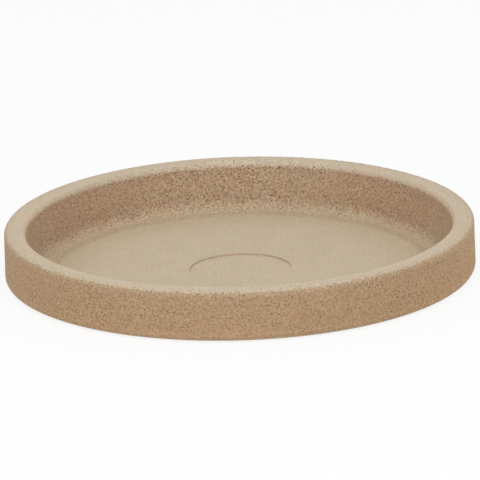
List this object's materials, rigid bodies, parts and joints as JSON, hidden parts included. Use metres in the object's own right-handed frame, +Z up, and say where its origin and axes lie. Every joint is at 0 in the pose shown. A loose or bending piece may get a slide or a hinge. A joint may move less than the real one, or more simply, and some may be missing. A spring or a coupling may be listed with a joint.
{
  "type": "plant saucer",
  "caption": "Round low plant saucer with a broad flat rim, stippled stone-look walls, a smooth shallow dish floor with a round centre recess, and rubber feet.",
  "frame": {"origin": "on the ground, in the plane of the feet's undersides, below the middle of the dish", "axes": "+Z up along the axis of the dish; the ring of feet has one foot on +X"},
  "size_m": [0.4, 0.4, 0.0445],
  "materials": {
    "dish": "sand-coloured stone look: stippled walls and cove, smooth matt rim and floor",
    "feet": "matt soft rubber"
  },
  "bodies": {
    "root": {"saucer_dish": "dish", "foot_1": "feet", "foot_2": "feet", "foot_3": "feet", "foot_4": "feet", "foot_5": "feet", "foot_6": "feet", "foot_7": "feet", "foot_8": "feet"}
  },
  "joints": []
}
